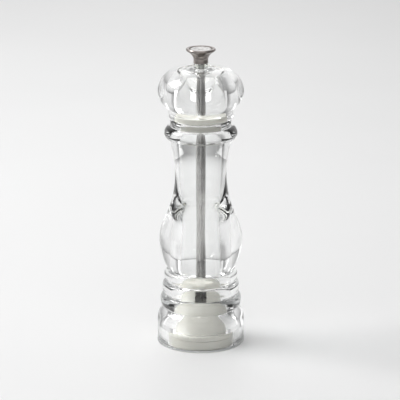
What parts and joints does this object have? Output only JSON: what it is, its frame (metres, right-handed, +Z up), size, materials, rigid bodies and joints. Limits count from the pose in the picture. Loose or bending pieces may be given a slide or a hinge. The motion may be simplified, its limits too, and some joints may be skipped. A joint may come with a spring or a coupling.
{
  "type": "pepper mill",
  "caption": "Clear turned pepper mill with ringed foot, domed head, steel knob, square shaft and a grinder adjusted by turning the knob.",
  "frame": {"origin": "centre of the mill's foot, on the surface it stands on", "axes": "+Z up along the mill's turning axis; -Y faces the viewer; X to the right"},
  "size_m": [0.06, 0.06, 0.2058],
  "materials": {
    "body_shell": "clear polished acrylic",
    "head_cap": "clear polished acrylic",
    "glide_ring": "clear acrylic, slightly frosted",
    "head_plug": "off-white moulded plastic",
    "grinder_housing": "off-white moulded plastic",
    "stator_clamp": "off-white moulded plastic",
    "rotor_core": "light grey moulded plastic",
    "stator": "matt white ceramic",
    "rotor": "matt white ceramic",
    "rotor_washer": "plain steel washer",
    "rotor_screw": "slotted steel screw",
    "housing_screw": "slotted steel screw",
    "plate_screw": "slotted steel screw",
    "spring_washer": "plain steel washer",
    "spring": "drawn spring wire",
    "shaft": "drawn square bar",
    "drive_plate": "pressed steel plate",
    "knob": "satin turned steel",
    "knob_inlay": "bright disc with plain rings"
  },
  "bodies": {
    "mill_body": {"body_shell": "body_shell", "grinder_housing": "grinder_housing", "stator": "stator", "stator_clamp": "stator_clamp", "housing_screw_1": "housing_screw", "housing_screw_2": "housing_screw", "housing_screw_3": "housing_screw"},
    "turning_set": {"spring": "spring", "spring_top_washer": "spring_washer"},
    "spindle": {"shaft": "shaft", "rotor": "rotor", "rotor_core": "rotor_core", "rotor_washer": "rotor_washer", "rotor_screw": "rotor_screw", "spring_foot_washer": "spring_washer"},
    "head": {"head_cap": "head_cap", "head_plug": "head_plug", "drive_plate": "drive_plate", "plate_screw_1": "plate_screw", "plate_screw_2": "plate_screw"},
    "knob_set": {"knob": "knob", "knob_inlay": "knob_inlay", "glide_ring": "glide_ring"}
  },
  "joints": [
    {"name": "head_spin", "type": "hinge", "parent": "mill_body", "child": "turning_set", "pos_m": [0, 0, 0.1], "axis": [0, 0, 1], "continuous": true},
    {"name": "spindle_lift", "type": "slide", "parent": "turning_set", "child": "spindle", "axis": [0, 0, 1], "range_m": [-0.0008, 0.0008], "deforming": ["spring"]},
    {"name": "head_lift", "type": "slide", "parent": "turning_set", "child": "head", "axis": [0, 0, 1], "range_m": [0, 0.06]},
    {"name": "knob_turn", "type": "hinge", "parent": "head", "child": "knob_set", "pos_m": [0, 0, 0.2], "axis": [0, 0, 1], "range_deg": [-360, 360]}
  ],
  "couplings": [
    {"joint": "spindle_lift", "follows": "knob_turn", "m_per_rad": -0.00012732}
  ]
}
